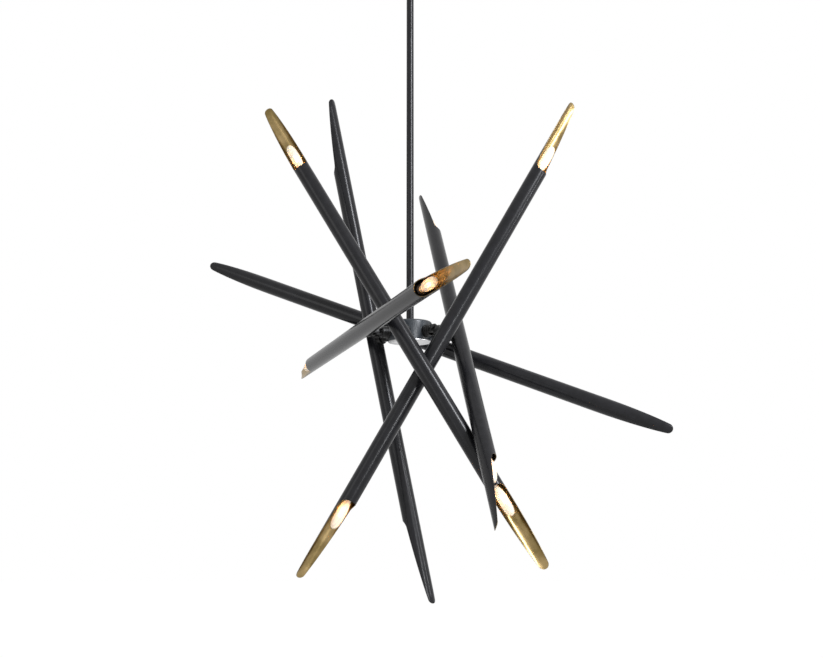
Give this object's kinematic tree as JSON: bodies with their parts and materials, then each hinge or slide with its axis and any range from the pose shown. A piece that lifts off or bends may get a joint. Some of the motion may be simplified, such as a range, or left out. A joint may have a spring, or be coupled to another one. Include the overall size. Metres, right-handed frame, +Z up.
{
  "type": "sputnik chandelier",
  "caption": "Ceiling chandelier: long tubes with quill-cut, gold-lined open ends and small bulbs, on adjustable knuckles round a drum hub that hangs from a stem rod and canopy.",
  "frame": {"origin": "centre of the ceiling crossbar's top face, between its two slots, on the ceiling's plane", "axes": "+Z up towards the ceiling, the stem hangs down -Z; +X along the ceiling crossbar's slots; +Y completes it, away from the side the picture looks from"},
  "size_m": [1.1036, 1.197, 1.5445],
  "materials": {
    "zinc": "zinc plated sheet",
    "green_screw": "green passivated",
    "black": "satin black powder coat",
    "cover": "brushed nickel",
    "terminal": "moulded, matt",
    "fastener": "black oxide",
    "tube": "satin black outside, gold leaf inside",
    "holder": "moulded, matt",
    "cap": "bright brass",
    "bulb_glass": "clear, lit warm"
  },
  "bodies": {
    "ceiling_mount": {"ceiling_crossbar": "zinc", "ground_screw": "green_screw", "canopy_nipple": "zinc", "crossbar_locknut": "zinc", "canopy": "black", "canopy_ring_nut": "black"},
    "swivel_yoke": {"hang_swivel_yoke": "black", "hang_pivot_bolt": "black"},
    "stem_and_hub": {"stem_tongue": "black", "stem_rod": "black", "stem_foot_nipple": "zinc", "stem_locknut": "zinc", "hub_shell": "black", "hub_cover": "cover", "hub_cover_screws": "cover", "hub_terminal_block": "terminal", "arm_collars": "black"},
    "knuckle_1": {"swivel_fork_1": "black", "knuckle_fasteners_1": "fastener"},
    "tube_unit_1": {"tube_saddle_1": "black", "light_tube_1": "tube", "lampholders_1": "holder", "bulb_caps_1": "cap", "bulb_glass_1": "bulb_glass"},
    "knuckle_2": {"swivel_fork_2": "black", "knuckle_fasteners_2": "fastener"},
    "tube_unit_2": {"tube_saddle_2": "black", "light_tube_2": "tube", "lampholders_2": "holder", "bulb_caps_2": "cap", "bulb_glass_2": "bulb_glass"},
    "knuckle_3": {"swivel_fork_3": "black", "knuckle_fasteners_3": "fastener"},
    "tube_unit_3": {"tube_saddle_3": "black", "light_tube_3": "tube", "lampholders_3": "holder", "bulb_caps_3": "cap", "bulb_glass_3": "bulb_glass"},
    "knuckle_4": {"swivel_fork_4": "black", "knuckle_fasteners_4": "fastener"},
    "tube_unit_4": {"tube_saddle_4": "black", "light_tube_4": "tube", "lampholders_4": "holder", "bulb_caps_4": "cap", "bulb_glass_4": "bulb_glass"},
    "knuckle_5": {"swivel_fork_5": "black", "knuckle_fasteners_5": "fastener"},
    "tube_unit_5": {"tube_saddle_5": "black", "light_tube_5": "tube", "lampholders_5": "holder", "bulb_caps_5": "cap", "bulb_glass_5": "bulb_glass"},
    "knuckle_6": {"swivel_fork_6": "black", "knuckle_fasteners_6": "fastener"},
    "tube_unit_6": {"tube_saddle_6": "black", "light_tube_6": "tube", "lampholders_6": "holder", "bulb_caps_6": "cap", "bulb_glass_6": "bulb_glass"}
  },
  "joints": [
    {"name": "yoke_turn", "type": "hinge", "parent": "ceiling_mount", "child": "swivel_yoke", "pos_m": [0, 0, -0.0372], "axis": [0, 0, 1], "range_deg": [-170, 170]},
    {"name": "hang_tilt", "type": "hinge", "parent": "swivel_yoke", "child": "stem_and_hub", "pos_m": [0, 0, -0.057], "axis": [0, 1, 0], "range_deg": [-20, 20]},
    {"name": "arm_swivel_1", "type": "hinge", "parent": "stem_and_hub", "child": "knuckle_1", "pos_m": [0.05989, 0.01605, -0.93], "axis": [-0.9659, -0.2588, 0], "range_deg": [0, 17]},
    {"name": "tube_lean_1", "type": "hinge", "parent": "knuckle_1", "child": "tube_unit_1", "pos_m": [0.07727, 0.02071, -0.93], "axis": [-0.1874, 0.6995, -0.6896], "range_deg": [-25, 0.5]},
    {"name": "arm_swivel_2", "type": "hinge", "parent": "stem_and_hub", "child": "knuckle_2", "pos_m": [0.01605, 0.05989, -0.93], "axis": [-0.2588, -0.9659, 0], "range_deg": [-49, 6]},
    {"name": "tube_lean_2", "type": "hinge", "parent": "knuckle_2", "child": "tube_unit_2", "pos_m": [0.02071, 0.07727, -0.93], "axis": [-0.3556, 0.0953, -0.9298], "range_deg": [-12.5, 9]},
    {"name": "arm_swivel_3", "type": "hinge", "parent": "stem_and_hub", "child": "knuckle_3", "pos_m": [-0.04384, 0.04384, -0.93], "axis": [0.7071, -0.7071, 0], "range_deg": [-12, 15]},
    {"name": "tube_lean_3", "type": "hinge", "parent": "knuckle_3", "child": "tube_unit_3", "pos_m": [-0.05657, 0.05657, -0.93], "axis": [-0.7042, -0.7042, -0.0906], "range_deg": [-31, 14]},
    {"name": "arm_swivel_4", "type": "hinge", "parent": "stem_and_hub", "child": "knuckle_4", "pos_m": [-0.05989, -0.01605, -0.93], "axis": [0.9659, 0.2588, 0], "range_deg": [-3, 7]},
    {"name": "tube_lean_4", "type": "hinge", "parent": "knuckle_4", "child": "tube_unit_4", "pos_m": [-0.07727, -0.02071, -0.93], "axis": [0.0113, -0.0421, -0.999], "range_deg": [-1.5, 5]},
    {"name": "arm_swivel_5", "type": "hinge", "parent": "stem_and_hub", "child": "knuckle_5", "pos_m": [-0.01605, -0.05989, -0.93], "axis": [0.2588, 0.9659, 0], "range_deg": [0, 10]},
    {"name": "tube_lean_5", "type": "hinge", "parent": "knuckle_5", "child": "tube_unit_5", "pos_m": [-0.02071, -0.07727, -0.93], "axis": [0.8236, -0.2207, 0.5225], "range_deg": [-1.5, 1.5]},
    {"name": "arm_swivel_6", "type": "hinge", "parent": "stem_and_hub", "child": "knuckle_6", "pos_m": [0.04384, -0.04384, -0.93], "axis": [-0.7071, 0.7071, 0], "range_deg": [-23, 2]},
    {"name": "tube_lean_6", "type": "hinge", "parent": "knuckle_6", "child": "tube_unit_6", "pos_m": [0.05657, -0.05657, -0.93], "axis": [0.649, 0.649, -0.3971], "range_deg": [-3, 5.5]}
  ]
}
